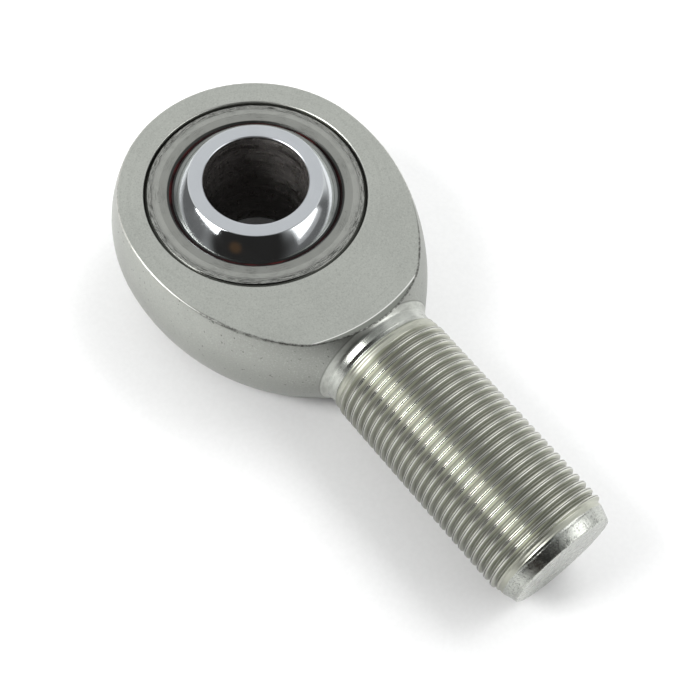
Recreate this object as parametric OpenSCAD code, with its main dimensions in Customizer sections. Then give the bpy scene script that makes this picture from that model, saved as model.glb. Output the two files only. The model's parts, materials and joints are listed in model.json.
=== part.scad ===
// Rod end bearing, three-piece precision type with a male shank.
// 1 inch bore, 1-1/4-12 UNF right-hand shank, lined race, all sizes in millimetres.
// The origin is the centre of the ball, +Z runs along the bore and +X along the shank.

/* [Ball] */
// Diameter of the bore through the ball
bore_d = 25.4; // [20:0.1:28]
// Diameter of the ball's sphere
ball_d = 47.625; // [46:0.1:49]
// Width of the ball between its two flat faces
ball_w = 34.925; // [32:0.1:38]
// Edge break around the ball's flat faces
ball_chamfer = 0.25; // [0.1:0.05:0.5]
// Chamfer at both ends of the bore
bore_chamfer = 0.4; // [0.2:0.1:1]

/* [Race and liner] */
// Outer diameter of the race, which is also the bore of the head
race_d = 53.975; // [52:0.1:56]
// Width of the race between its faces
race_w = 25.4; // [22:0.1:25.6]
// Chamfer at the race's outer corners
race_chamfer = 0.3; // [0.1:0.1:0.6]
// Chamfer at the mouth of the race, where the ball comes out
mouth_chamfer = 0.4; // [0.2:0.1:0.8]
// Thickness of the bonded low-friction liner
liner_t = 0.36; // [0.25:0.01:0.6]
// How far the liner's edges stop short of the race's faces
liner_recess = 0.5; // [0.3:0.1:1.5]

/* [Head] */
// Diameter of the round head behind the bore
head_d = 71.4; // [70:0.1:74]
// Thickness of the head across its two flats
head_w = 26; // [25.7:0.1:28]
// Radius of the head's long curve down to the neck
flank_r = 57; // [54:0.5:60]
// How far the head's long curve is centred beyond the bore
flank_x = 2.8; // [1:0.1:4]
// Chamfer around the head's bore, which leaves a groove around the race
seat_chamfer = 0.5; // [0.3:0.1:0.8]
// Radius around the bore out to which the flats are faced
facing_r = 44.35; // [43:0.05:45]
// Corner radius that the facing leaves against the neck
facing_corner_r = 2.6; // [2:0.1:4]

/* [Neck and shank] */
// Distance from the ball's centre to the end of the shank
shank_end_x = 112.4; // [104:0.1:120]
// Diameter of the turned neck
neck_d = 29.4; // [29:0.1:30.4]
// Fillet between the head's cone and the neck
neck_fillet_r = 2; // [1:0.1:3]
// Length of the straight neck between its fillet and the thread's run-out
neck_len = 0.4; // [0.2:0.1:3]
// Length over which the neck then widens to the thread's crests
flare_len = 4.2; // [2:0.1:5]
// Outer diameter of the rolled thread's crests, which are not quite filled
thread_d = 31; // [30.8:0.05:31.75]
// Pitch diameter of the thread
pitch_d = 30.376; // [30.2:0.001:30.45]
// Diameter at the thread's roots
root_d = 29.1; // [29:0.05:29.4]
// Threads per inch
threads_per_inch = 12; // [12:1:14]
// Length of the plain band between the thread and the end chamfer
band_len = 1.4; // [0.5:0.1:3]
// Diameter of that plain band
band_d = 29.4; // [29.2:0.1:30.2]
// Length of the end chamfer along the shank
tip_len = 3.4; // [1:0.1:5]
// Diameter of the shank's end face
tip_d = 26.9; // [25:0.1:29]

/* [Hidden] */
$fn = 96;

// Radial running clearance between the ball and its liner
ball_clearance = 0.04;
// Extra length that carries a cutter past the face it cuts
past = 1;

ball_r = ball_d / 2;
liner_bore_r = ball_r + ball_clearance;
race_bore_r = liner_bore_r + liner_t;
race_r = race_d / 2;

// The long curve of the head is tangent to the round head behind the bore
head_r = head_d / 2;
flank_gap = flank_r - head_r;
flank_angle = asin(flank_x / flank_gap);
flank_centre = [-flank_gap * cos(flank_angle), flank_x];
// It ends where it has turned to 45 degrees, and a straight cone carries on from there
cone_start = flank_centre + flank_r * [cos(45), sin(45)];
neck_r = neck_d / 2;
cone_end_x = cone_start.y + cone_start.x - neck_r;
// A fillet between two lines 45 degrees apart touches them this far from their corner
tangent_len = neck_fillet_r * tan(22.5);
flare_x = cone_end_x + tangent_len + neck_len;

// A 60 degree thread, as wide as its gap at the pitch diameter
pitch = 25.4 / threads_per_inch;
crest_r = thread_d / 2;
root_r = root_d / 2;
crest_flat = pitch / 2 - (thread_d - pitch_d) * tan(30);
flank_len = (crest_r - root_r) * tan(30);
thread_start_x = flare_x + flare_len;
tip_start_x = shank_end_x - tip_len;
thread_end_x = tip_start_x - band_len;
groove_count = floor((thread_end_x - thread_start_x - crest_flat) / pitch);
groove_start_x = thread_end_x - crest_flat - groove_count * pitch;

// Lays a half profile, drawn as [radius, distance along the shank], around the shank's axis
module turned_on_shank() {
  rotate([0, 90, 0])
    rotate_extrude()
      children();
}

// Half profile of the head, round behind the bore and long towards the neck
module head_profile() {
  tangent_x = -head_r * sin(flank_angle);
  intersection() {
    circle(r = head_r);
    translate([0, -head_r])
      square([head_r, head_d]);
  }
  intersection() {
    translate(flank_centre)
      circle(r = flank_r);
    translate([0, tangent_x])
      square([head_r, cone_start.y - tangent_x]);
  }
}

// Half profile of the cone that leads the head down into the neck, with the neck's fillet
module neck_profile() {
  difference() {
    polygon([
      [0, 0],
      [neck_r, 0],
      cone_start,
      [neck_r + tangent_len * sin(45), cone_end_x - tangent_len * cos(45)],
      [neck_r, cone_end_x + tangent_len],
      [neck_r, flare_x],
      [0, flare_x],
    ]);
    translate([neck_r + neck_fillet_r, cone_end_x + tangent_len])
      circle(r = neck_fillet_r);
  }
}

// Half profile of the threaded shank, with one ring groove for each turn of the thread
module shank_profile() {
  grooves = [
    for (i = [0 : groove_count - 1])
      let (x = groove_start_x + i * pitch)
      each [
        [crest_r, x + crest_flat],
        [root_r, x + crest_flat + flank_len],
        [root_r, x + pitch - flank_len],
        [crest_r, x + pitch],
      ]
  ];
  polygon([
    [0, 0],
    [root_r, 0],
    [root_r, flare_x],
    [neck_r, flare_x],
    [crest_r, thread_start_x],
    each grooves,
    [crest_r, thread_end_x],
    [band_d / 2, thread_end_x + (crest_r - band_d / 2) * tan(30)],
    [band_d / 2, tip_start_x],
    [tip_d / 2, shank_end_x],
    [0, shank_end_x],
  ]);
}

// Space that facing takes off one side of the head, out to a rounded corner at the neck
module facing_cut() {
  wall_r = facing_r + facing_corner_r;
  rotate_extrude() {
    translate([0, head_w / 2])
      square([facing_r, head_d]);
    translate([0, head_w / 2 + facing_corner_r])
      square([wall_r, head_d]);
    translate([facing_r, head_w / 2 + facing_corner_r])
      circle(r = facing_corner_r);
  }
}

// Through bore of the head for the race, with a chamfer at both ends
module race_seat_cut() {
  rotate_extrude()
    polygon([
      [0, -head_w / 2 - past],
      [race_r + seat_chamfer + past, -head_w / 2 - past],
      [race_r, -head_w / 2 + seat_chamfer],
      [race_r, head_w / 2 - seat_chamfer],
      [race_r + seat_chamfer + past, head_w / 2 + past],
      [0, head_w / 2 + past],
    ]);
}

// Head, neck and threaded shank, forged and turned in one piece
module rod_body() {
  color([0.66, 0.67, 0.64])
    difference() {
      turned_on_shank() {
        head_profile();
        neck_profile();
        shank_profile();
      }
      facing_cut();
      mirror([0, 0, 1])
        facing_cut();
      race_seat_cut();
    }
}

// Steel ring that is staked into the head, with a spherical inside
module race() {
  half_w = race_w / 2;
  mouth_r = sqrt(pow(race_bore_r, 2) - pow(half_w - mouth_chamfer, 2));
  color([0.60, 0.61, 0.59])
    rotate_extrude()
      difference() {
        polygon([
          [mouth_r - past, -half_w + mouth_chamfer],
          [mouth_r, -half_w + mouth_chamfer],
          [mouth_r + mouth_chamfer, -half_w],
          [race_r - race_chamfer, -half_w],
          [race_r, -half_w + race_chamfer],
          [race_r, half_w - race_chamfer],
          [race_r - race_chamfer, half_w],
          [mouth_r + mouth_chamfer, half_w],
          [mouth_r, half_w - mouth_chamfer],
          [mouth_r - past, half_w - mouth_chamfer],
        ]);
        circle(r = race_bore_r);
      }
}

// Thin low-friction liner, bonded to the inside of the race
module liner() {
  liner_w = race_w - 2 * liner_recess;
  color([0.22, 0.08, 0.07])
    rotate_extrude()
      intersection() {
        difference() {
          circle(r = race_bore_r);
          circle(r = liner_bore_r);
        }
        translate([0, -liner_w / 2])
          square([race_r, liner_w]);
      }
}

// Polished ball with two flat faces and a through bore for the bolt
module ball() {
  bore_r = bore_d / 2;
  face_r = sqrt(pow(ball_r, 2) - pow(ball_w / 2, 2)) - ball_chamfer;
  // The chamfer's slope is halfway between the flat face and the sphere where they meet
  rim_z = ball_w / 2 - (ball_r - face_r) * tan(acos(ball_w / ball_d) / 2);
  color([0.78, 0.80, 0.82])
    rotate_extrude()
      intersection() {
        circle(r = ball_r);
        polygon([
          [bore_r, -ball_w / 2 + bore_chamfer],
          [bore_r + bore_chamfer, -ball_w / 2],
          [face_r, -ball_w / 2],
          [ball_r, -rim_z],
          [ball_r, rim_z],
          [face_r, ball_w / 2],
          [bore_r + bore_chamfer, ball_w / 2],
          [bore_r, ball_w / 2 - bore_chamfer],
        ]);
      }
}

rod_body();
race();
liner();
ball();
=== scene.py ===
"""The looks of a rod end bearing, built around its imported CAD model.

Shapes are worked out in millimetres. Materials, lights and the camera are in metres, as the frame is.
"""

import json
import math

import bmesh
import bpy
import numpy as np
from mathutils import Matrix, Vector


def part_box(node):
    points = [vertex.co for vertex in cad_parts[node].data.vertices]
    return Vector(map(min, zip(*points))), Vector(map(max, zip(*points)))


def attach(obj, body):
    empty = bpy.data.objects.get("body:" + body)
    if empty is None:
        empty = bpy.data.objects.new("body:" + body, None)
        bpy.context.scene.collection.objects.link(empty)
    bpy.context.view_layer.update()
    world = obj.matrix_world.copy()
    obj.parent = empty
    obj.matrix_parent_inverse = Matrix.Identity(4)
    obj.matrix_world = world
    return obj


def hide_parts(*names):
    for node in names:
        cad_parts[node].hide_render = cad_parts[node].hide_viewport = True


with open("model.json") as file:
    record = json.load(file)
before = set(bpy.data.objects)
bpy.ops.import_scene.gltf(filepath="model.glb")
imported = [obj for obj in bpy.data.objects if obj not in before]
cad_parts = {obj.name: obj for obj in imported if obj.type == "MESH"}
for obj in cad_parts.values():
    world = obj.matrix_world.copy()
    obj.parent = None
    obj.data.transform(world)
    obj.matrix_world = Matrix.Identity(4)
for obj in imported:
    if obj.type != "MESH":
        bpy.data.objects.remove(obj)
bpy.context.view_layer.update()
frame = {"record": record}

MM = 0.001

# ---------------------------------------------------------------- sizes, from the frame where it holds them
mounts = {m["name"]: m for m in frame["record"]["mounts"]}
body_low, body_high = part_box("rod_body")
race_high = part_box("race")[1]
liner_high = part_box("liner")[1]
ball_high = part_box("ball")[1]

HEAD_R = -body_low.x / MM
HEAD_HALF = 13.0
SHANK_END = body_high.x / MM
CREST_R = mounts["shank_thread"]["dims"]["r_mm"]
RACE_R = race_high.x / MM
RACE_HALF = race_high.z / MM
LINER_HALF = liner_high.z / MM
BALL_R = ball_high.x / MM
BALL_HALF = ball_high.z / MM
BORE_R = mounts["ball_bore"]["dims"]["r_mm"]

# Head: round behind the bore, a long curve beside it, then a 45 degree cone down to the neck
FLANK_R = 57.0
FLANK_X = 2.8
# Facing of the flats: out to this radius around the bore, then a 45 degree wall that climbs to the neck
FACING_R = 44.35
FACING_CORNER = 0.22
# Rounded edge of the flats, with a rough burr where the facing cut ran towards the neck
EDGE = 0.28
BURR_MEAN = 0.12
BURR_MOST = 0.22
# Seat for the race, chamfered at both ends
SEAT_R = RACE_R + 0.02
SEAT_CHAMFER = 0.25
# Neck: it tapers slightly to the crease where its turning stopped, and a shoulder climbs from there
NECK_R = 14.7
NECK_TAPER = 0.06
NECK_FILLET = 0.35
CREASE_X = 49.6
CREASE_SLOPE = 0.295
SHOULDER_X = 50.46
SHOULDER_SLOPE = 0.9
# Blank that the thread was rolled on, and the ridge at its start
BLANK_R = 15.0
RIDGE_X = 50.95
RIDGE_HALF = 0.32
RIDGE_HEIGHT = 0.10
ROLLING_START_X = 50.8
ROLLING_FULL_X = 53.6
# Rolled thread: each crest is a slightly crowned land with a fold along its middle
PITCH = 25.4 / 12
THREAD_FLANK = math.radians(30)
ROOT_R = 14.53
LAND_HALF = 0.31
LAND_CROWN = 0.03
SEAM_DEPTH = 0.12
SEAM_HALF = 0.10
FIRST_CREST_X = 53.93
# End of the shank: the thread runs out onto a plain band, then a chamfer leads to the end face
BAND_R = 14.6
THREAD_END_X = 107.75
RUN_OUT_SLOPE = 1.9
CHAMFER_X = 109.0
TIP_R = 13.45
TIP_EDGE = 0.35
# Race: its spherical inside holds the liner, and its mouth and rim are chamfered
RACE_BORE_R = BALL_R + 0.4
RACE_MOUTH = 0.5
RACE_RIM = 0.82
# Liner, between the ball and the race
LINER_GAP = 0.045
LINER_BACK_GAP = 0.005
# Ball: edge break around its flats and chamfer at its bore
BALL_EDGE = 0.16
BORE_CHAMFER = 0.22


# ---------------------------------------------------------------- mesh helpers
def soft_max(a, b, width):
    """The larger of a and b, with the corner between them rounded over about that width."""
    return 0.5 * (a + b + np.sqrt((a - b) ** 2 + width**2))


def soft_min(a, b, width):
    """The smaller of a and b, rounded over in the same way."""
    return -soft_max(-a, -b, width)


def smoothstep(x, start, end):
    """Zero up to start and one from end on, with an even curve between."""
    t = np.clip((x - start) / (end - start), 0, 1)
    return t * t * (3 - 2 * t)


def grid(points, material, wear=None, close_columns=False):
    """One patch of a mesh: points[row, column] in millimetres, a material index, and each point's wear.

    The mark is above zero on bright rubbed edges, partly a painted highlight, and on burnished crests, and
    below zero where shade is painted: along burrs, in thread roots and in crest folds.
    """
    if close_columns:
        points = np.concatenate([points, points[:, :1]], axis=1)
        if wear is not None:
            wear = np.concatenate([wear, wear[:, :1]], axis=1)
    if wear is None:
        wear = np.zeros(points.shape[:2])
    return points, material, np.broadcast_to(wear, points.shape[:2])


def mesh_from_grids(name, grids, merge_mm=0.0005):
    """Joins patches into one mesh. Points that coincide are merged, and faces that vanish are left out."""
    points, wear, faces, materials = [], [], [], []
    first = 0
    for patch, material, edge_scuffs_and_light in grids:
        rows, columns = patch.shape[:2]
        index = first + np.arange(rows * columns).reshape(rows, columns)
        quads = np.stack([index[:-1, :-1], index[:-1, 1:], index[1:, 1:], index[1:, :-1]], axis=-1)
        faces.append(quads.reshape(-1, 4))
        materials.append(np.full(len(faces[-1]), material))
        points.append(patch.reshape(-1, 3))
        wear.append(edge_scuffs_and_light.reshape(-1))
        first += rows * columns
    points, wear = np.concatenate(points), np.concatenate(wear)
    faces, materials = np.concatenate(faces), np.concatenate(materials)
    keys = np.round(points / merge_mm).astype(np.int64)
    _, kept, where = np.unique(keys, axis=0, return_index=True, return_inverse=True)
    where = where.reshape(-1)
    shapes, shape_materials = [], []
    for quad, material in zip(where[faces].tolist(), materials.tolist()):
        corners = [v for i, v in enumerate(quad) if v != quad[i - 1]]
        if len(set(corners)) == len(corners) and len(corners) > 2:
            shapes.append(corners)
            shape_materials.append(material)
    mesh = bpy.data.meshes.new(name)
    mesh.from_pydata((points[kept] * MM).tolist(), [], shapes)
    mesh.polygons.foreach_set("material_index", shape_materials)
    mesh.attributes.new("wear", "FLOAT", "POINT").data.foreach_set("value", wear[kept].astype(np.float32))
    outward = bmesh.new()
    outward.from_mesh(mesh)
    bmesh.ops.recalc_face_normals(outward, faces=outward.faces)
    outward.to_mesh(mesh)
    outward.free()
    mesh.shade_smooth()
    piece = bpy.data.objects.new(name, mesh)
    bpy.context.scene.collection.objects.link(piece)
    return piece


def weigh_normals(piece):
    """Lets the broad faces set the shading, so that narrow edge rounding stays narrow."""
    weigh = piece.modifiers.new("weighted_normals", "WEIGHTED_NORMAL")
    weigh.mode = "FACE_AREA"
    weigh.weight = 80
    weigh.keep_sharp = True


def turned(profile, columns):
    """A profile of (radius, z) points turned about the bore's axis, as points[row, column]."""
    angles = np.linspace(0, 2 * math.pi, columns, endpoint=False)
    radius, z = np.array(profile, float).T
    x = radius[:, None] * np.cos(angles)
    y = radius[:, None] * np.sin(angles)
    return np.stack([x, y, np.broadcast_to(z[:, None], x.shape)], axis=-1)


def rounded(profile, radius, steps=4):
    """An open profile with its inner corners rounded over. A corner's third number replaces the radius."""
    points = [np.array(p[:2], float) for p in profile]
    sizes = [p[2] if len(p) > 2 else radius for p in profile]
    out = [points[0]]
    for before, corner, after, size in zip(points, points[1:], points[2:], sizes[1:]):
        into, away = before - corner, after - corner
        a = corner + into * min(size, np.linalg.norm(into) * 0.45) / np.linalg.norm(into)
        b = corner + away * min(size, np.linalg.norm(away) * 0.45) / np.linalg.norm(away)
        out += [curve(a, corner, b, t) for t in np.linspace(0, 1, steps + 1)]
    out.append(points[-1])
    return out


def curve(start, corner, end, t):
    """A point on the curve from start to end that rounds over their corner, at t from 0 to 1."""
    return (1 - t) ** 2 * start + 2 * t * (1 - t) * corner + t * t * end


def mirrored(profile):
    """A (radius, z) profile turned over, which runs back from its last point."""
    return [(r, -z) for r, z in reversed(profile)]


def at_radius(sphere_r, heights):
    """Profile points on a sphere, at those heights."""
    return [(math.sqrt(sphere_r**2 - z * z), z) for z in heights]


# ---------------------------------------------------------------- rod body
FLANK_GAP = FLANK_R - HEAD_R
FLANK_ANGLE = math.asin(FLANK_X / FLANK_GAP)
TANGENT_X = -HEAD_R * math.sin(FLANK_ANGLE)
CONE_X = FLANK_X + FLANK_R * math.sqrt(0.5)
CONE_SUM = CONE_X - FLANK_GAP * math.cos(FLANK_ANGLE) + FLANK_R * math.sqrt(0.5)


def head_radius(x):
    """Radius of the head's turned outline about the shank's axis."""
    behind = np.sqrt(np.maximum(HEAD_R**2 - x**2, 0))
    flank = np.sqrt(np.maximum(FLANK_R**2 - (x - FLANK_X) ** 2, 0)) - FLANK_GAP * math.cos(FLANK_ANGLE)
    return np.where(x < TANGENT_X, behind, np.where(x < CONE_X, flank, CONE_SUM - x))


def thread_height(x, angle):
    """Radius of the full rolled thread: a right-hand helix with a fine fold seam along its crest."""
    turn = (x - FIRST_CREST_X) / PITCH - angle / (2 * math.pi)
    off_crest = np.abs(turn - np.round(turn)) * PITCH
    flank = CREST_R - (off_crest - LAND_HALF) / math.tan(THREAD_FLANK)
    seam = SEAM_DEPTH * np.exp(-((off_crest / SEAM_HALF) ** 2))
    crest = CREST_R - LAND_CROWN * (off_crest / LAND_HALF) ** 2 - seam
    return soft_max(soft_min(crest, flank, 0.04), ROOT_R, 0.16)


def shank_radius(x, angle):
    """Radius of the shank, from the crease at the end of the neck to the start of the end chamfer."""
    into_crease = NECK_R - CREASE_SLOPE * (x - CREASE_X)
    out_of_crease = NECK_R + SHOULDER_SLOPE * (x - SHOULDER_X)
    ridge = BLANK_R + RIDGE_HEIGHT * np.exp(-(((x - RIDGE_X) / RIDGE_HALF) ** 2))
    blank = soft_min(soft_max(into_crease, out_of_crease, 0.05), ridge, 0.05)
    rolled = smoothstep(x, ROLLING_START_X, ROLLING_FULL_X)
    radius = blank + rolled * (thread_height(x, angle) - BLANK_R)
    end_limit = soft_max(BAND_R + RUN_OUT_SLOPE * (THREAD_END_X - x), BAND_R, 0.05)
    return soft_min(radius, end_limit, 0.06)


def body_radius(x, angle):
    """Radius about the shank's axis, anywhere from the back of the head to the end chamfer."""
    neck = NECK_R + NECK_TAPER * np.maximum(CREASE_X - x, 0)
    cone_and_neck = soft_max(head_radius(x), neck, NECK_FILLET)
    turned_part = np.where(x < CONE_X, head_radius(x), cone_and_neck)
    return np.where(x < CREASE_X, turned_part, shank_radius(x, angle))


def facing_point(rho, inset=0.0):
    """A point of the facing cut's profile, as (distance from the bore's axis, height).

    It is moved into the steel by inset, square to the flat or to the wall.
    """
    climb = soft_max(rho - FACING_R, 0.0, FACING_CORNER)
    on_wall = smoothstep(rho, FACING_R - 0.2, FACING_R + 0.2)
    aside = inset * math.sqrt(0.5)
    return rho + aside * on_wall, HEAD_HALF + climb - inset + (inset - aside) * on_wall


def inside_body(rho, phi, z):
    """Above zero inside the turned outline, below zero outside it."""
    x, y = rho * np.cos(phi), rho * np.sin(phi)
    radius = body_radius(x, np.full_like(x, math.pi / 2))
    return radius**2 - y**2 - z**2


def bisect(inside, low, high, steps=48):
    """Where inside(value) turns from positive to negative, for arrays of limits."""
    for _ in range(steps):
        middle = (low + high) / 2
        positive = inside(middle) > 0
        low, high = np.where(positive, middle, low), np.where(positive, high, middle)
    return (low + high) / 2


def flat_edge(phi, inset=0.0):
    """How far along the facing profile the flat ends, at each direction phi around the bore."""

    def inside(s):
        rho, z = facing_point(s, inset)
        return inside_body(rho, phi, z)

    return bisect(inside, np.full_like(phi, 20.0), np.full_like(phi, FACING_R + 4))


def side_rho(phi, z):
    """Distance of the head's side from the bore's axis, at each direction and height."""
    phi, z = np.broadcast_arrays(np.asarray(phi, float), np.asarray(z, float))
    return bisect(lambda rho: inside_body(rho, phi, z), np.full(phi.shape, 20.0), np.full(phi.shape, 60.0))


def polar(rho, phi, z):
    """Points at that distance and direction from the bore's axis, and that height."""
    rho, phi, z = np.broadcast_arrays(rho, phi, z)
    return np.stack([rho * np.cos(phi), rho * np.sin(phi), z], axis=-1)


def facing_ring(s, phi, inset=0.0):
    """Points of the facing cut's profile, one in each direction phi around the bore."""
    rho, z = facing_point(s, inset)
    return polar(rho, phi, z)


def flipped(points):
    """The same patch on the lower side."""
    return points * np.array([1, 1, -1])


HEAD_SIDE, HEAD_FACE, THREAD, TIP = range(4)
# The neck's patch starts within this angle of the shank, and the head's side takes the rest of the way round
NECK_PHI = math.radians(27)
TOP_COLUMNS = 40
BACK_COLUMNS = 180
SIDE_ROWS = 32
SHANK_COLUMNS = 2 * (TOP_COLUMNS + SIDE_ROWS)
BEVEL_ROWS = 6
NECK_ROWS = 37
THREAD_TURNS = 31
# Rings where the neck's patch becomes plain, and where the thread's patch takes over
NECK_RING_X = 48.9
SHOULDER_END_X = 50.5
# The burr fades out beyond these angles from the shank
FADE_MINUS_Y = math.radians(52)
FADE_PLUS_Y = math.radians(30)
FADE_WIDTH = math.radians(30)
SEAT_WEAR = 0.35


def signed_turn(phi):
    """The direction around the bore, between -180 and 180 degrees."""
    return (phi + math.pi) % (2 * math.pi) - math.pi


def roughness_along(phi):
    """Unevenness of the burr along the flat's edge, from about -1 to 1, worst towards the neck."""
    waves = sum(np.sin(phi * k + 1.7 * k) * a for k, a in ((23, 0.3), (59, 0.4), (97, 0.35), (171, 0.3)))
    return waves * near_neck(phi)


def near_neck(phi):
    """One where the facing cut ran towards the neck, falling to zero beside the bore."""
    turn = signed_turn(phi)
    fades = np.where(turn < 0, FADE_MINUS_Y, FADE_PLUS_Y)
    return 1 - smoothstep(np.abs(turn), fades, fades + FADE_WIDTH)


def burr(phi):
    """Height of the rough burr left along the flat's edge."""
    return np.clip(BURR_MEAN * near_neck(phi) * (1 + roughness_along(phi)), 0, BURR_MOST)


def edge_marks(phi, distance):
    """How bright (above zero) or how dark (below zero) the flat's edge is painted, at a distance from it: a
    rubbed edge that is partly a painted highlight beside the bore, and painted shade along the burr towards
    the neck.
    """
    width = 0.18 + 0.20 * near_neck(phi)
    return (1 - 1.7 * near_neck(phi)) * np.exp(-((distance / width) ** 2))


def head_face_grid(phi, inner_s):
    """Both flats and the seat between them, in one patch that starts at the upper flat's edge."""
    corner_s = np.minimum(FACING_R - 0.3, inner_s - 0.6)
    flat_start = SEAT_R + SEAT_CHAMFER
    rows = [flat_start + (corner_s - flat_start) * t for t in (0, 0.02, 0.06, 0.2, 0.4, 0.6, 0.8, 0.95)]
    rows += [corner_s + (inner_s - corner_s) * t for t in (0, 0.08, 0.13, 0.19, 0.26)]
    rows += [np.minimum((corner_s + inner_s) / 2, inner_s - 0.43)]
    rows += [inner_s - t for t in (0.42, 0.28, 0.15, 0)]
    rows.reverse()
    flat = np.stack([facing_ring(s, phi) for s in rows])
    flat_marks = np.stack([edge_marks(phi, inner_s - s + EDGE / 2) for s in rows])
    flat_marks[-1] = SEAT_WEAR
    chamfer_z = HEAD_HALF - SEAT_CHAMFER
    wall = [(SEAT_R + 0.06, chamfer_z + 0.06), (SEAT_R, chamfer_z - 0.1)]
    wall += [(SEAT_R, z) for z in (11, 6, 0)]
    seat = np.stack([polar(r, phi, z) for r, z in wall])
    upper = np.concatenate([flat, seat])
    face = np.concatenate([upper, flipped(upper)[::-1][1:]])
    upper_marks = np.concatenate([flat_marks, np.full(seat.shape[:2], SEAT_WEAR)])
    face_marks = np.concatenate([upper_marks, upper_marks[::-1][1:]])
    return grid(face, HEAD_FACE, face_marks, close_columns=True)


def bevel_points(phi, edge_s, inner_s):
    """The upper flat's rounded edge with its burr, from the flat to the head's side."""
    inner = facing_ring(inner_s, phi)
    outer = facing_ring(flat_edge(phi, EDGE), phi, EDGE)
    edge = facing_ring(edge_s, phi)
    edge[:, 2] += burr(phi)
    return curve(inner, edge, outer, np.linspace(0, 1, BEVEL_ROWS)[:, None, None])


def head_side(phi):
    """The head's side in the directions phi, and the painted edge marks next to the flats, from edge_marks.
    """
    top = HEAD_HALF - EDGE
    closer_at_edges = top * np.sin(np.linspace(math.pi / 2, -math.pi / 2, SIDE_ROWS + 1))
    z = (0.8 * closer_at_edges + 0.2 * np.linspace(top, -top, SIDE_ROWS + 1))[:, None]
    points = polar(side_rho(phi[None, :], z), phi[None, :], z)
    return points, edge_marks(phi, top - np.abs(z) + EDGE / 2)


def head_grids():
    """The head's seat, flats, edges and side, and the loop of points that the neck starts from."""
    across = np.linspace(-NECK_PHI, NECK_PHI, TOP_COLUMNS + 1)
    around = np.linspace(NECK_PHI, 2 * math.pi - NECK_PHI, BACK_COLUMNS + 1)
    phi = np.concatenate([across, around[1:-1]])
    edge_s = flat_edge(phi)
    inner_s = edge_s - EDGE
    bevel = bevel_points(phi, edge_s, inner_s)
    edge_scuffs_and_light = edge_marks(phi, EDGE * np.abs(np.linspace(-0.5, 0.5, BEVEL_ROWS))[:, None])
    side, side_marks = head_side(around)
    over_side = np.concatenate([bevel[-1][TOP_COLUMNS:], bevel[-1][:1]])
    side[0], side[-1] = over_side, flipped(over_side)
    over_neck = bevel[-1][: TOP_COLUMNS + 1]
    at_minus_y, at_plus_y = side[1:-1, -1], side[1:-1, 0]
    loop = np.concatenate([over_neck[::-1], at_minus_y, flipped(over_neck), at_plus_y[::-1]])
    grids = [
        head_face_grid(phi, inner_s),
        grid(bevel, HEAD_SIDE, edge_scuffs_and_light, close_columns=True),
        grid(flipped(bevel), HEAD_SIDE, edge_scuffs_and_light, close_columns=True),
        grid(side, HEAD_SIDE, side_marks),
    ]
    return grids, loop


def around_shank(x, angle):
    """Points on the body's surface at those places along and around the shank."""
    radius = body_radius(x, angle)
    return np.stack([x, radius * np.cos(angle), radius * np.sin(angle)], axis=-1)


def neck_grids(loop, angles):
    """From the loop round the head's neck side to a plain ring, then over the shoulder to the thread."""
    start_x = loop[:, 0]
    start_angle = np.unwrap(np.arctan2(loop[:, 2], loop[:, 1]))
    start_angle += 2 * math.pi * np.round((angles[0] - start_angle[0]) / (2 * math.pi))
    steps = np.linspace(0, 1, NECK_ROWS)[:, None]
    x = start_x + (NECK_RING_X - start_x) * steps
    angle = start_angle + (angles - start_angle) * steps
    neck = around_shank(x, angle)
    neck[0] = loop
    stations = [NECK_RING_X, 49.2, CREASE_X - 0.01, CREASE_X + 0.01, 49.8, 50.0]
    stations += [50.12, 50.2, 50.26, 50.34, SHOULDER_END_X]
    x = np.array(stations)[:, None] * np.ones(len(angles))
    shoulder = around_shank(x, np.broadcast_to(angles, x.shape))
    return [grid(neck, HEAD_SIDE, close_columns=True), grid(shoulder, HEAD_SIDE, close_columns=True)]


def thread_grid(angles):
    """The thread. Rows follow the helix, so each edge of the thread form is one clean line of points."""
    off_crest = np.array([0, 0.06, 0.13, 0.26, 0.36, 0.46, 0.64, 0.8, 0.9])
    stations = np.concatenate([-off_crest[:0:-1], off_crest, [PITCH / 2]])
    sweep = (angles - angles[0]) / (2 * math.pi)
    first_turn = math.floor((SHOULDER_END_X - FIRST_CREST_X) / PITCH) - 2
    turns = np.arange(first_turn, first_turn + THREAD_TURNS)
    along = (turns[:, None] * PITCH + stations).reshape(-1, 1) + FIRST_CREST_X
    along = along + PITCH * angles[0] / (2 * math.pi)
    x = np.clip(along + PITCH * np.append(sweep, 1), SHOULDER_END_X, CHAMFER_X)
    angle = np.broadcast_to(np.append(angles, angles[0] + 2 * math.pi), x.shape)
    points = around_shank(x, angle)
    radius = np.hypot(points[..., 1], points[..., 2])
    burnished = smoothstep(radius, CREST_R - 0.16, CREST_R - 0.03)
    # Roots and the crest fold get marks below zero, which the thread's material turns into painted shade
    sunk = 1 - smoothstep(radius, ROOT_R + 0.05, ROOT_R + 0.55)
    threaded = smoothstep(x, 52.0, 54.0) * (1 - smoothstep(x, THREAD_END_X - 0.7, THREAD_END_X - 0.3))
    seam = np.tile(np.abs(stations) < SEAM_HALF * 0.8, len(turns))[:, None] * threaded
    marks = burnished - sunk * threaded
    return grid(points, THREAD, marks * (1 - seam) - 2 * seam)


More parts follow.
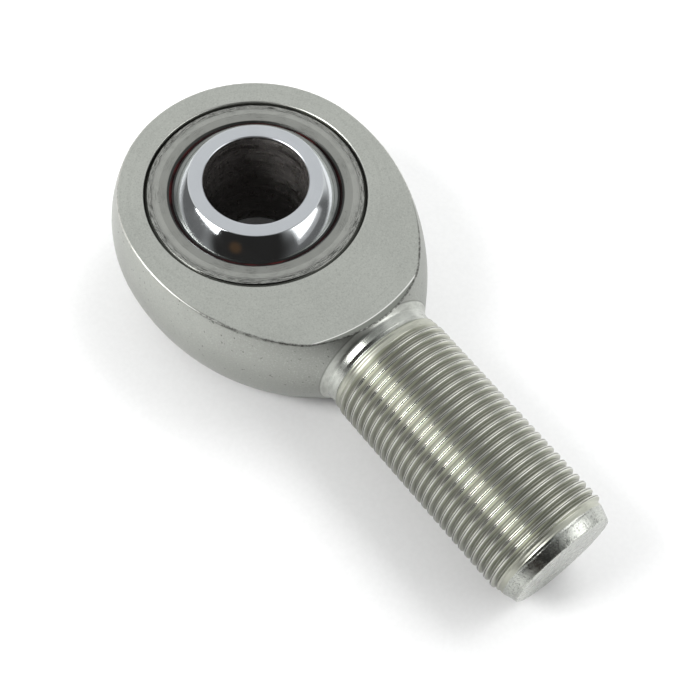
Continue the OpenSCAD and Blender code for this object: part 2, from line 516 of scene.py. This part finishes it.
def tip_grid(angles):
    """End chamfer with a fine turned groove around it, and the end face of the shank."""
    slope = (TIP_R - BAND_R) / (SHANK_END - CHAMFER_X)
    corners = [(BAND_R, CHAMFER_X - 1), (BAND_R, CHAMFER_X), (TIP_R, SHANK_END, TIP_EDGE), (0, SHANK_END)]
    profile = rounded(corners, 0.2, 6)[1:-1]
    start = [(BAND_R, CHAMFER_X)] + [p for p in profile[1:] if CHAMFER_X <= p[1] < CHAMFER_X + 0.3]
    groove = [(0.34, 0), (0.44, 0.09), (0.54, 0.09), (0.66, 0)]
    plain = [(1.4, 0), (2.3, 0)]
    middle = [(BAND_R + slope * t - depth, CHAMFER_X + t) for t, depth in groove + plain]
    end = [p for p in profile if p[1] > SHANK_END - 0.5]
    face = [(TIP_R * t, SHANK_END) for t in (0.95, 0.8, 0.6, 0.4, 0.2, 0)]
    rows = np.array([tuple(p) for p in start + middle + end + face])
    radius, x = rows[:, 0][:, None], rows[:, 1][:, None] * np.ones(len(angles))
    points = np.stack([x, radius * np.cos(angles), radius * np.sin(angles)], axis=-1)
    points[0] = around_shank(x[0], angles)
    return grid(points, TIP, close_columns=True)


def shank_angles(loop):
    """Even steps around the shank's axis that run with the neck's loop and meet it above the neck."""
    loop_angles = np.unwrap(np.arctan2(loop[:, 2], loop[:, 1]))
    sense = np.sign(loop_angles[1] - loop_angles[0])
    angles = loop_angles[0] + sense * 2 * math.pi * np.arange(SHANK_COLUMNS) / SHANK_COLUMNS
    above = TOP_COLUMNS // 2
    return angles + (loop_angles[above] - angles[above])


def make_rod_body():
    """Head, neck, thread and tip in one mesh, since the real one is a single forging."""
    grids, loop = head_grids()
    angles = shank_angles(loop)
    grids += neck_grids(loop, angles)
    grids.append(thread_grid(angles))
    grids.append(tip_grid(angles))
    body = mesh_from_grids("rod_body_forged", grids)
    for material in (body_steel(), head_face_steel(), thread_steel(), tip_steel()):
        body.data.materials.append(material)
    weigh_normals(body)
    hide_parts("rod_body")
    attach(body, "rod")


# ---------------------------------------------------------------- race, liner and ball
RING_COLUMNS = 256


def make_race():
    """Turned ring with shallow steps in its face. Its rim's chamfer and the seat's leave a narrow groove."""
    mouth_r = math.sqrt(RACE_BORE_R**2 - (RACE_HALF - RACE_MOUTH) ** 2)
    top = RACE_HALF
    below_mouth = 11.5
    upper = rounded(
        [
            (RACE_R, 0),
            (RACE_R - 0.05, top - 0.9, 0.05),
            (RACE_R - 0.12, top - 0.68, 0.05),
            (RACE_R - RACE_RIM, top, 0.05),
            (25.3, top - 0.01, 0.3),
            (24.9, top - 0.04, 0.2),
            (24.7, top, 0.1),
            (23.6, top, 0.1),
            (23.4, top - 0.04, 0.1),
            (mouth_r + RACE_MOUTH, top - 0.03, 0.08),
            (mouth_r, top - RACE_MOUTH, 0.06),
            *at_radius(RACE_BORE_R, [below_mouth]),
        ],
        0.06,
    )
    profile = [tuple(p) for p in upper] + at_radius(RACE_BORE_R, (10.5, 8, 5, 2.5, 0))
    closed = profile + mirrored(profile)[1:]
    race = mesh_from_grids("race_turned", [grid(turned(closed, RING_COLUMNS), 0, close_columns=True)])
    race.data.materials.append(race_steel())
    weigh_normals(race)
    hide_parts("race")
    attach(race, "rod")


def make_liner():
    """Thin woven liner, bonded in the race, with slightly frayed edges."""
    heights = np.linspace(-LINER_HALF, LINER_HALF, 49)
    inside = at_radius(BALL_R + LINER_GAP, heights)
    outside = at_radius(RACE_BORE_R - LINER_BACK_GAP, heights[::-1])
    points = turned(inside + outside + inside[:1], RING_COLUMNS)
    angles = np.linspace(0, 2 * math.pi, RING_COLUMNS, endpoint=False)
    fray = 0.05 * np.sin(angles * 61) * np.sin(angles * 37 + 1) + 0.03 * np.sin(angles * 113)
    edge = np.abs(points[..., 2]) > LINER_HALF - 0.01
    points[..., 2] += np.where(edge, np.sign(points[..., 2]) * fray, 0)
    liner = mesh_from_grids("liner_woven", [grid(points, 0, close_columns=True)])
    liner.data.materials.append(liner_fabric())
    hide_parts("liner")
    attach(liner, "rod")


BALL_SPHERE, BALL_FLAT, BALL_BORE = range(3)


def make_ball():
    """Polished ball with ground flats and a plain bore."""
    face_r = math.sqrt(BALL_R**2 - BALL_HALF**2)
    last = math.asin(BALL_HALF / BALL_R) - BALL_EDGE / BALL_R
    sphere = [(BALL_R * math.cos(a), BALL_R * math.sin(a)) for a in np.linspace(-last, last, 65)]
    before, corner, after = np.array([sphere[-1], (face_r, BALL_HALF), (face_r - BALL_EDGE, BALL_HALF)])
    rim = [tuple(curve(before, corner, after, t)) for t in np.linspace(0, 1, 6)]
    flat_end = BORE_R + BORE_CHAMFER
    mouth = rounded(
        [
            (flat_end + 0.3, BALL_HALF),
            (flat_end, BALL_HALF),
            (BORE_R, BALL_HALF - BORE_CHAMFER),
            (BORE_R, BALL_HALF - BORE_CHAMFER - 1),
        ],
        0.05,
    )
    mouth = [tuple(p) for p in mouth[1:-1]]
    flat = [(r, BALL_HALF) for r in np.linspace(face_r - BALL_EDGE, flat_end + 0.05, 6)] + mouth[:1]
    bore = [(BORE_R, z) for z in np.linspace(mouth[-1][1], -mouth[-1][1], 13)]
    parts = [
        (mirrored(rim) + sphere[1:-1] + rim, BALL_SPHERE),
        (flat, BALL_FLAT),
        (mirrored(flat), BALL_FLAT),
        (mouth, BALL_FLAT),
        (mirrored(mouth), BALL_FLAT),
        (bore, BALL_BORE),
    ]
    grids = [grid(turned(profile, RING_COLUMNS), part, close_columns=True) for profile, part in parts]
    ball = mesh_from_grids("ball_polished", grids)
    for material in (ball_chrome(), ball_flat_steel(), ball_bore_steel()):
        ball.data.materials.append(material)
    weigh_normals(ball)
    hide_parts("ball")
    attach(ball, "ball")


# ---------------------------------------------------------------- material helpers
# Bright colour of rubbed edges, partly a painted highlight, and dark colour painted along burrs as painted
# shade
RUBBED_EDGE_AND_HIGHLIGHT = (0.62, 0.62, 0.58)
BURR_SHADE = (0.07, 0.068, 0.062)


class Nodes:
    """A new material and short ways to add nodes to it."""

    def __init__(self, name, color, roughness, metallic=1.0):
        self.material = bpy.data.materials.new(name)
        self.material.use_nodes = True
        self.tree = self.material.node_tree
        self.shader = self.tree.nodes["Principled BSDF"]
        self.shader.inputs["Base Color"].default_value = (*color, 1)
        self.shader.inputs["Roughness"].default_value = roughness
        self.shader.inputs["Metallic"].default_value = metallic
        self.material.diffuse_color = (*color, 1)

    def link(self, source, target):
        """Joins an output socket to an input socket."""
        self.tree.links.new(source, target)

    def add(self, kind, **settings):
        """A new node of that kind with those settings."""
        node = self.tree.nodes.new(kind)
        for name, value in settings.items():
            setattr(node, name, value)
        return node

    def place(self):
        """The place on the piece, in metres."""
        return self.add("ShaderNodeTexCoord").outputs["Object"]

    def scaled(self, vector, scale):
        """A vector or colour socket times a scale for each of its three parts."""
        node = self.add("ShaderNodeVectorMath", operation="MULTIPLY")
        self.link(vector, node.inputs[0])
        node.inputs[1].default_value = scale
        return node.outputs["Vector"]

    def math(self, operation, a, b=None, clamp=False):
        """One sum, where a and b are each a number or a socket."""
        node = self.add("ShaderNodeMath", operation=operation, use_clamp=clamp)
        for socket, value in zip(node.inputs, (a, b)):
            if value is None:
                continue
            if isinstance(value, (int, float)):
                socket.default_value = value
            else:
                self.link(value, socket)
        return node.outputs["Value"]

    def noise(self, vector, scale, detail, roughness, dimensions="3D", distortion=0.0):
        """Noise, mostly between 0.3 and 0.7, with about scale cycles per metre. 1D takes one number."""
        node = self.add("ShaderNodeTexNoise", noise_dimensions=dimensions)
        self.link(vector, node.inputs["W" if dimensions == "1D" else "Vector"])
        node.inputs["Scale"].default_value = scale
        node.inputs["Detail"].default_value = detail
        node.inputs["Roughness"].default_value = roughness
        node.inputs["Distortion"].default_value = distortion
        return node.outputs["Fac"]

    def remap(self, value, low, high, to_low, to_high):
        """A smooth step from to_low to to_high, while the value goes from low to high."""
        node = self.add("ShaderNodeMapRange", interpolation_type="SMOOTHSTEP")
        self.link(value, node.inputs["Value"])
        limits = {"From Min": low, "From Max": high, "To Min": to_low, "To Max": to_high}
        for name, number in limits.items():
            node.inputs[name].default_value = number
        return node.outputs["Result"]

    def mix(self, factor, a, b):
        """A colour between two, each a colour or a socket."""
        node = self.add("ShaderNodeMix", data_type="RGBA")
        self.link(factor, node.inputs["Factor"])
        for socket, value in ((node.inputs["A"], a), (node.inputs["B"], b)):
            if isinstance(value, tuple):
                socket.default_value = (*value, 1)
            else:
                self.link(value, socket)
        return node.outputs["Result"]

    def darker(self, color, factor):
        """A colour socket, made darker by a factor."""
        return self.scaled(color, (factor, factor, factor))

    def below(self, place):
        """One on the part's under half and zero above it, where colours are painted darker as painted shade.
        """
        return self.remap(self.component(place, "Z"), -0.002, 0.011, 1, 0)

    def wear(self):
        """Each point's mark, as the mesh was given it: above zero for rubbed edges, partly a painted
        highlight, and burnished crests; below zero for painted shade.
        """
        return self.add("ShaderNodeAttribute", attribute_name="wear").outputs["Fac"]

    def marked(self, base):
        """The colour with the part's bright rubbed edges, partly a painted highlight, and the painted shade
        along its burrs.
        """
        broken = self.noise(self.place(), 1200, 5, 0.72)
        wear = self.wear()
        bright = self.remap(wear, 0.1, 0.9, 0, 1)
        bright = self.math("MULTIPLY", bright, self.remap(broken, 0.35, 0.55, 0.25, 1))
        dark = self.remap(wear, -0.7, -0.1, 0.85, 0)
        dark = self.math("MULTIPLY", dark, self.remap(broken, 0.40, 0.60, 0.15, 1))
        return self.mix(dark, self.mix(bright, base, RUBBED_EDGE_AND_HIGHLIGHT), BURR_SHADE)

    def component(self, vector, axis):
        """The X, Y or Z part of a vector."""
        parts = self.add("ShaderNodeSeparateXYZ")
        self.link(vector, parts.inputs[0])
        return parts.outputs[axis]

    def turn(self, vector):
        """The direction around the bore's axis."""
        return self.math("ARCTAN2", self.component(vector, "Y"), self.component(vector, "X"))

    def bore_distance(self, vector):
        """The distance from the bore's axis."""
        x2 = self.math("POWER", self.component(vector, "X"), 2.0)
        y2 = self.math("POWER", self.component(vector, "Y"), 2.0)
        return self.math("SQRT", self.math("ADD", x2, y2))

    def polar(self, vector, turn_scale, distance_scale):
        """Coordinates around the bore's axis and out from it, for marks that follow a turned face."""
        both = self.add("ShaderNodeCombineXYZ")
        self.link(self.math("MULTIPLY", self.turn(vector), turn_scale), both.inputs["X"])
        self.link(self.math("MULTIPLY", self.bore_distance(vector), distance_scale), both.inputs["Y"])
        return both.outputs["Vector"]

    def bump(self, *layers):
        """Adds (height socket, depth in metres) layers as bumps, one after another."""
        normal = None
        for height, distance in layers:
            node = self.add("ShaderNodeBump")
            node.inputs["Strength"].default_value = 1.0
            node.inputs["Distance"].default_value = distance
            self.link(height, node.inputs["Height"])
            if normal is not None:
                self.link(normal, node.inputs["Normal"])
            normal = node.outputs["Normal"]
        self.link(normal, self.shader.inputs["Normal"])

    def color(self, socket):
        """Sets the surface's colour."""
        self.link(socket, self.shader.inputs["Base Color"])

    def roughness(self, socket):
        """Sets the surface's roughness."""
        self.link(socket, self.shader.inputs["Roughness"])


# ---------------------------------------------------------------- materials
PLATE = (0.485, 0.498, 0.462)
LIP_HIGHLIGHT = (0.88, 0.88, 0.85)
THREAD_PLATE = (0.49, 0.497, 0.428)
BURNISHED_CREST = (0.58, 0.585, 0.54)
RACE_METAL = (0.43, 0.436, 0.408)
# The liner's maroon, darkened almost to black as painted shade of the gap around the ball
LINER_MAROON_AND_SHADE = (0.010, 0.004, 0.004)
LINER_RED = (0.05, 0.008, 0.008)
CHROME = (0.62, 0.645, 0.66)
GROUND_FLAT = (0.60, 0.622, 0.65)
# Bored steel, painted dark as painted shade inside the bore
BORE_METAL_AND_SHADE = (0.19, 0.178, 0.17)
BORE_STAIN = (0.16, 0.148, 0.138)
SCRIBE_X = 0.04608


def shade(color, factor):
    """A plain colour, made lighter or darker by a factor."""
    return tuple(c * factor for c in color)


def body_steel():
    """Satin zinc plate over the turned forging, shinier beyond the scribed circle around the neck."""
    n = Nodes("body_plate", PLATE, 0.36)
    place = n.place()
    along = n.component(place, "X")
    grain = n.noise(place, 2400, 4, 0.65)
    specks = n.noise(place, 1100, 2, 0.5)
    blotch = n.noise(place, 70, 4, 0.6)
    lines = n.noise(along, 2200, 3, 0.7, "1D")
    neck = n.remap(along, SCRIBE_X - 0.0003, SCRIBE_X + 0.0003, 0, 1)
    smooth = n.remap(along, SCRIBE_X + 0.0006, SCRIBE_X + 0.0022, 0, 1)
    scribe = n.remap(n.math("ABSOLUTE", n.math("SUBTRACT", along, SCRIBE_X)), 0.00005, 0.00022, 1, 0)
    smear = n.noise(n.scaled(place, (1.0, 0.3, 0.3)), 1100, 4, 0.65)
    # Random blotches on a copy of the plate darker than the flats' copy: the darker copy is painted shade on
    # the head's side
    base = n.mix(n.remap(blotch, 0.3, 0.7, 0, 1), shade(PLATE, 0.70), shade(PLATE, 0.83))
    # Darker along the side towards the neck: painted shade where the head runs into the neck
    base = n.mix(n.remap(along, 0.015, 0.044, 0, 0.8), base, shade(PLATE, 0.62))
    base = n.mix(n.remap(grain, 0.30, 0.52, 0.5, 0), base, shade(PLATE, 0.62))
    base = n.mix(n.remap(grain, 0.52, 0.68, 0, 0.35), base, shade(PLATE, 1.1))
    base = n.mix(n.remap(specks, 0.27, 0.33, 0.9, 0), base, shade(PLATE, 0.30))
    bright = n.mix(n.remap(smear, 0.35, 0.65, 0, 1), shade(PLATE, 0.88), shade(PLATE, 1.12))
    bright = n.mix(n.remap(lines, 0.30, 0.45, 0.7, 0), bright, shade(PLATE, 0.70))
    base = n.mix(neck, base, bright)
    base = n.mix(n.math("MULTIPLY", scribe, 0.7), base, shade(PLATE, 0.4))
    n.color(n.marked(base))
    rough = n.remap(blotch, 0.25, 0.75, 0.34, 0.43)
    n.roughness(n.math("SUBTRACT", rough, n.math("MULTIPLY", smooth, 0.13)))
    n.bump((grain, 0.000012), (lines, 0.000010), (smear, 0.000010))
    return n.material


def head_face_steel():
    """Faced flat: the same plate with faint arcs from the facing cutter, a painted highlight along the
    corner at its wall, and painted shade on the wall beyond it.
    """
    n = Nodes("head_face_plate", PLATE, 0.38)
    place = n.place()
    grain = n.noise(place, 2800, 4, 0.6)
    blotch = n.noise(place, 60, 4, 0.6)
    arcs = n.noise(n.bore_distance(place), 1100, 4, 0.75, "1D")
    base = n.mix(n.remap(blotch, 0.3, 0.7, 0, 1), shade(PLATE, 0.98), shade(PLATE, 1.07))
    base = n.mix(n.remap(grain, 0.28, 0.50, 0.8, 0), base, shade(PLATE, 0.78))
    base = n.mix(n.remap(grain, 0.52, 0.68, 0, 0.6), base, shade(PLATE, 1.2))
    base = n.mix(n.remap(arcs, 0.30, 0.42, 0.5, 0), base, shade(PLATE, 0.88))
    # The bright line where the flat meets its wall is a painted highlight, and the darker wall beyond it is
    # painted shade
    out = n.math("SUBTRACT", n.bore_distance(place), FACING_R * MM)
    lip = n.remap(n.math("ABSOLUTE", out), 0.00010, 0.00026, 1, 0)
    base = n.mix(n.remap(out, 0.0001, 0.0003, 0, 1), base, shade(PLATE, 0.74))
    base = n.mix(lip, base, LIP_HIGHLIGHT)
    n.color(n.marked(base))
    rough = n.remap(blotch, 0.25, 0.75, 0.35, 0.42)
    n.roughness(n.math("SUBTRACT", rough, n.remap(n.wear(), 0.2, 0.7, 0, 0.2)))
    n.bump((grain, 0.000014), (arcs, 0.000006))
    return n.material


def thread_steel():
    """Rolled thread: bright burnished crests, olive-grey flanks, and painted shade in the fold along each
    crest, in the roots and on the under half.
    """
    color = THREAD_PLATE
    n = Nodes("thread_plate", color, 0.3)
    place = n.place()
    smear = n.noise(n.scaled(place, (6.0, 1.0, 1.0)), 260, 3, 0.6)
    grain = n.noise(place, 2200, 3, 0.6)
    wear = n.wear()
    base = n.mix(n.remap(smear, 0.3, 0.7, 0, 1), shade(color, 0.9), shade(color, 1.08))
    sunk = n.remap(wear, -1, 0, 1, 0)
    # Roots painted darker and the crest fold painted almost black: painted shade
    base = n.mix(sunk, base, shade(color, 0.60))
    base = n.mix(n.remap(wear, -1.9, -1.0, 1, 0), base, shade(color, 0.16))
    burnished = n.remap(wear, 0, 1, 0, 1)
    base = n.mix(burnished, base, BURNISHED_CREST)
    # Darker on the under half: painted shade
    n.color(n.mix(n.below(place), base, n.darker(base, 0.72)))
    rough = n.math("ADD", n.remap(smear, 0.3, 0.7, 0.34, 0.40), n.math("MULTIPLY", sunk, 0.04))
    n.roughness(n.math("SUBTRACT", rough, n.math("MULTIPLY", burnished, 0.22)))
    n.bump((smear, 0.000006), (grain, 0.000006))
    return n.material


def tip_steel():
    """Turned end chamfer, frosted by handling, and the plated end face. Away from the end face, the under
    half is painted darker as painted shade.
    """
    n = Nodes("tip_plate", PLATE, 0.3)
    place = n.place()
    frost = n.noise(place, 2300, 3, 0.65)
    patch = n.noise(place, 330, 4, 0.6)
    lines = n.noise(n.component(place, "X"), 2600, 3, 0.7, "1D")
    base = n.mix(n.remap(patch, 0.35, 0.65, 0, 1), shade(PLATE, 0.98), shade(PLATE, 1.24))
    base = n.mix(n.remap(frost, 0.34, 0.5, 0.9, 0), base, shade(PLATE, 0.45))
    base = n.mix(n.remap(lines, 0.32, 0.45, 0.5, 0), base, shade(PLATE, 0.75))
    chamfer = n.remap(n.component(place, "X"), (SHANK_END - 0.2) * MM, (SHANK_END - 0.02) * MM, 1, 0)
    # The under half, away from the end face, is painted darker: painted shade
    n.color(n.mix(n.math("MULTIPLY", n.below(place), chamfer), base, n.darker(base, 0.72)))
    n.roughness(n.remap(patch, 0.35, 0.65, 0.23, 0.33))
    n.bump((frost, 0.00005), (patch, 0.00004), (lines, 0.000008))
    return n.material


def race_steel():
    """Turned face with concentric tool marks, scored near its rim. Both its chamfers and an inner band are
    painted darker, as painted shade.
    """
    color = RACE_METAL
    n = Nodes("race_turned_steel", color, 0.33)
    place = n.place()
    distance = n.bore_distance(place)
    wide_rings = n.noise(distance, 900, 3, 0.6, "1D")
    fine_rings = n.noise(distance, 5200, 3, 0.7, "1D")
    scores = n.noise(n.polar(place, 10.0, 7000.0), 1.0, 5, 0.8, distortion=0.25)
    cloud = n.noise(place, 170, 4, 0.6)
    pits = n.noise(place, 1300, 3, 0.6)
    scored = n.remap(distance, 0.0245, 0.0255, 0.10, 1.0)
    scored = n.math("ADD", scored, n.remap(cloud, 0.4, 0.7, -0.1, 0.35))
    # Masks for painted shade: a darker inner band, the rim chamfer in the groove beside the head's seat, and
    # the mouth chamfer at the gap to the liner
    inner_band = n.remap(distance, 0.0230, 0.0240, 0.8, 0)
    rim = n.remap(distance, 0.02614, 0.02620, 0, 1)
    mouth = n.remap(distance, 0.0213, 0.0216, 1, 0)
    score_marks = n.math("MULTIPLY", n.remap(scores, 0.45, 0.51, 1, 0), scored, clamp=True)
    base = n.mix(n.remap(wide_rings, 0.3, 0.7, 0, 1), shade(color, 0.80), shade(color, 1.18))
    base = n.mix(n.remap(fine_rings, 0.35, 0.65, 0.6, 0), base, shade(color, 0.78))
    base = n.mix(inner_band, base, shade(color, 0.70))
    score_marks = n.math("MULTIPLY", score_marks, n.math("SUBTRACT", 1.0, rim))
    base = n.mix(n.math("MULTIPLY", score_marks, 0.95), base, shade(color, 0.13))
    base = n.mix(n.remap(pits, 0.27, 0.33, 0.7, 0), base, shade(color, 0.4))
    base = n.mix(rim, base, shade(color, 0.30))
    n.color(n.mix(n.math("MULTIPLY", mouth, 0.9), base, shade(color, 0.10)))
    rough = n.remap(wide_rings, 0.3, 0.7, 0.27, 0.40)
    n.roughness(n.math("SUBTRACT", rough, n.math("MULTIPLY", rim, 0.16)))
    n.bump((fine_rings, 0.000004), (score_marks, 0.000012))
    return n.material


def liner_fabric():
    """Maroon weave of the low-friction liner, painted almost black as painted shade of the gap around the
    ball, with a few redder patches.
    """
    color = LINER_MAROON_AND_SHADE
    n = Nodes("liner_weave", color, 0.7, metallic=0.0)
    n.shader.inputs["Specular IOR Level"].default_value = 0.15
    place = n.place()
    across = n.math("SINE", n.math("MULTIPLY", n.turn(place), 360.0))
    along = n.math("SINE", n.math("MULTIPLY", n.component(place, "Z"), 15000.0))
    weave = n.math("MULTIPLY", across, along)
    fuzz = n.noise(place, 4000, 3, 0.6)
    base = n.mix(n.remap(weave, -1, 1, 0, 1), shade(color, 0.6), shade(color, 1.35))
    base = n.mix(n.remap(fuzz, 0.4, 0.7, 0, 1), base, shade(color, 1.6))
    patches = n.remap(n.noise(place, 90, 2, 0.5), 0.54, 0.68, 0, 1)
    n.color(n.mix(patches, base, LINER_RED))
    n.roughness(n.remap(fuzz, 0.3, 0.7, 0.62, 0.82))
    n.bump((weave, 0.00004), (fuzz, 0.00001))
    return n.material


def ball_chrome():
    """Hard chrome, mirror polished, with a few hairline marks and faint haze."""
    color = CHROME
    n = Nodes("ball_chrome", color, 0.09)
    place = n.place()
    haze = n.noise(place, 120, 4, 0.6)
    hairline = n.noise(n.scaled(place, (1.0, 1.0, 9.0)), 700, 4, 0.75, distortion=0.4)
    marks = n.remap(hairline, 0.66, 0.74, 0, 1)
    streaks = n.noise(n.polar(place, 60.0, 700.0), 1.0, 4, 0.7, distortion=0.4)
    n.color(n.mix(n.remap(haze, 0.3, 0.7, 0, 1), shade(color, 0.97), shade(color, 1.03)))
    n.roughness(n.math("ADD", n.remap(haze, 0.3, 0.75, 0.07, 0.12), n.math("MULTIPLY", marks, 0.10)))
    n.bump((haze, 0.000010), (streaks, 0.0000045), (marks, 0.0000015))
    return n.material


def ball_flat_steel():
    """Ground flat of the ball: fine concentric grinding, cool grey."""
    color = GROUND_FLAT
    n = Nodes("ball_ground_flat", color, 0.36)
    place = n.place()
    rings = n.noise(n.bore_distance(place), 5200, 4, 0.7, "1D")
    blotch = n.noise(place, 200, 3, 0.6)
    base = n.mix(n.remap(rings, 0.3, 0.7, 0, 1), shade(color, 0.96), shade(color, 1.04))
    n.color(n.mix(n.remap(blotch, 0.3, 0.7, 0, 1), base, shade(color, 0.97)))
    n.roughness(n.remap(blotch, 0.3, 0.7, 0.34, 0.40))
    n.bump((rings, 0.000002))
    return n.material


def ball_bore_steel():
    """Bare bored inside of the ball, with fine boring marks and stains, its steel painted dark as painted
    shade inside the bore.
    """
    color = BORE_METAL_AND_SHADE
    n = Nodes("ball_bore_steel", color, 0.30)
    place = n.place()
    rings = n.noise(n.component(place, "Z"), 8000, 3, 0.6, "1D")
    stain = n.noise(place, 500, 4, 0.6)
    base = n.mix(n.remap(rings, 0.3, 0.7, 0, 1), shade(color, 0.85), shade(color, 1.15))
    n.color(n.mix(n.remap(stain, 0.45, 0.75, 0, 1), base, BORE_STAIN))
    n.roughness(n.remap(stain, 0.3, 0.7, 0.24, 0.28))
    n.bump((rings, 0.00022), (n.noise(place, 4200, 2, 0.6), 0.000008))
    return n.material


# ---------------------------------------------------------------- stage: camera, floor and light
def direction(azimuth, elevation):
    """A unit vector, with azimuth from +X towards +Y and elevation above the floor, in degrees."""
    a, e = math.radians(azimuth), math.radians(elevation)
    return Vector((math.cos(a) * math.cos(e), math.sin(a) * math.cos(e), math.sin(e)))


def make_camera():
    """Camera above the shank's side, aimed at the middle of the part and rolled slightly about its view."""
    camera = bpy.data.objects.new("camera", bpy.data.cameras.new("camera"))
    camera.data.sensor_width = 36
    camera.data.lens = 65.94
    camera.data.clip_start = 0.01
    camera.data.clip_end = 20
    camera.location = (0.146817, -0.106051, 0.267662)
    target = Vector((0.04279, -0.00436, 0))
    level = (target - camera.location).to_track_quat("-Z", "Y").to_matrix()
    roll = Matrix.Rotation(math.radians(6.388), 3, "Z")
    camera.rotation_euler = (level @ roll).to_euler()
    bpy.context.scene.collection.objects.link(camera)
    bpy.context.scene.camera = camera


FLOOR_RISE = math.radians(1.23)
FLOOR_RINGS = (0.05, 0.15, 0.4, 1.0, 3.0, 8.0)
FLOOR_MIDDLE_X = 0.05
PAPER = (0.86, 0.86, 0.86)
DARKER_PAPER = (0.85, 0.85, 0.85)
LIGHTER_PAPER = (0.87, 0.87, 0.87)
BALL_CHAMFER = 0.25
BALL_RIM_X = math.sqrt(BALL_R**2 - BALL_HALF**2) - BALL_CHAMFER


def make_floor():
    """Plain pale floor under the ball's lower rim and the last thread crest, so it rises along the shank."""
    angles = np.linspace(0, 2 * math.pi, 65)[:-1]
    rings = np.array((0,) + FLOOR_RINGS)[:, None]
    x = FLOOR_MIDDLE_X + rings * np.cos(angles)
    y = rings * np.sin(angles)
    z = -BALL_HALF * MM + (x - BALL_RIM_X * MM) * math.tan(FLOOR_RISE)
    points = np.stack([x, y, z], axis=-1) / MM
    floor = mesh_from_grids("floor", [grid(points, 0, close_columns=True)])
    n = Nodes("floor_paper", PAPER, 0.6, metallic=0.0)
    paper = n.noise(n.place(), 900, 3, 0.5)
    n.color(n.mix(n.remap(paper, 0.3, 0.7, 0, 1), DARKER_PAPER, LIGHTER_PAPER))
    n.shader.inputs["Specular IOR Level"].default_value = 0.1
    floor.data.materials.append(n.material)


def softbox(name, centre, target, width, height, radiance, reflected=True):
    """A rectangular studio light that faces target. A radiance of 1 looks as bright as white paper."""
    light = bpy.data.lights.new(name, "AREA")
    light.shape = "RECTANGLE"
    light.size, light.size_y = width, height
    light.energy = radiance * math.pi * width * height
    box = bpy.data.objects.new(name, light)
    box.location = centre
    box.rotation_euler = (Vector(target) - Vector(centre)).to_track_quat("-Z", "Y").to_euler()
    box.visible_camera = False
    box.visible_glossy = reflected
    bpy.context.scene.collection.objects.link(box)


def make_lights():
    """Two softboxes, each with a fainter halo around it, and light on the floor from behind."""
    softbox("left_softbox", (-0.115, -0.32, 0.352), (-0.115, 0, 0.352), 0.25, 0.41, 9.0)
    softbox("left_halo", (-0.12, -0.323, 0.365), (-0.12, 0, 0.365), 0.28, 0.43, 0.35)
    softbox("right_softbox", (0.325, 0.228, 0.245), (0.06, 0.05, 0.245), 0.29, 0.24, 1.75)
    softbox("right_halo", (0.327, 0.23, 0.25), (0.06, 0.05, 0.25), 0.35, 0.33, 0.35)
    softbox("floor_fill", (0.02, 0.62, 0.66), (0.05, 0, 0), 0.8, 0.6, 4.0, reflected=False)


WHITE_WALL = (0.90, 0.91, 0.91)
OVERHEAD = (0.30, 0.31, 0.31)
LOW_WALL = (0.17, 0.17, 0.17)
OPENING = (0.026, 0.025, 0.024)
WARM_PATCH = (0.085, 0.052, 0.030)


def patch_factor(tree, view, centre, outer_angle, inner_angle):
    """One where the view direction is within the inner angle of centre, zero beyond the outer angle."""
    near = tree.nodes.new("ShaderNodeVectorMath")
    near.operation = "DOT_PRODUCT"
    near.inputs[1].default_value = centre
    tree.links.new(view, near.inputs[0])
    inside = tree.nodes.new("ShaderNodeMapRange")
    inside.interpolation_type = "SMOOTHSTEP"
    inside.inputs["From Min"].default_value = math.cos(math.radians(outer_angle))
    inside.inputs["From Max"].default_value = math.cos(math.radians(inner_angle))
    tree.links.new(near.outputs["Value"], inside.inputs["Value"])
    return inside.outputs["Result"]


def make_world():
    """White tent walls, dimmer overhead and low down, with a dark opening towards the camera's side."""
    world = bpy.data.worlds.new("tent")
    bpy.context.scene.world = world
    world.use_nodes = True
    tree = world.node_tree
    view = tree.nodes.new("ShaderNodeTexCoord").outputs["Generated"]
    wall = tree.nodes.new("ShaderNodeRGB").outputs["Color"]
    wall.default_value = (*WHITE_WALL, 1)
    patches = (
        (direction(-40, 82), 42, 12, OVERHEAD),
        (direction(-132, -2), 46, 26, LOW_WALL),
        (direction(45, -6), 42, 24, LOW_WALL),
        (direction(10, -2), 38, 20, LOW_WALL),
        (direction(-48, 26), 62, 36, OPENING),
        (direction(-62, 20), 9, 2, WARM_PATCH),
    )
    for centre, outer_angle, inner_angle, color in patches:
        mix = tree.nodes.new("ShaderNodeMix")
        mix.data_type = "RGBA"
        tree.links.new(patch_factor(tree, view, centre, outer_angle, inner_angle), mix.inputs["Factor"])
        tree.links.new(wall, mix.inputs["A"])
        mix.inputs["B"].default_value = (*color, 1)
        wall = mix.outputs["Result"]
    tree.links.new(wall, tree.nodes["Background"].inputs["Color"])


make_camera()
make_rod_body()
make_race()
make_liner()
make_ball()
make_floor()
make_lights()
make_world()
bpy.context.scene.view_settings.view_transform = "Standard"
bpy.context.scene.view_settings.look = "None"
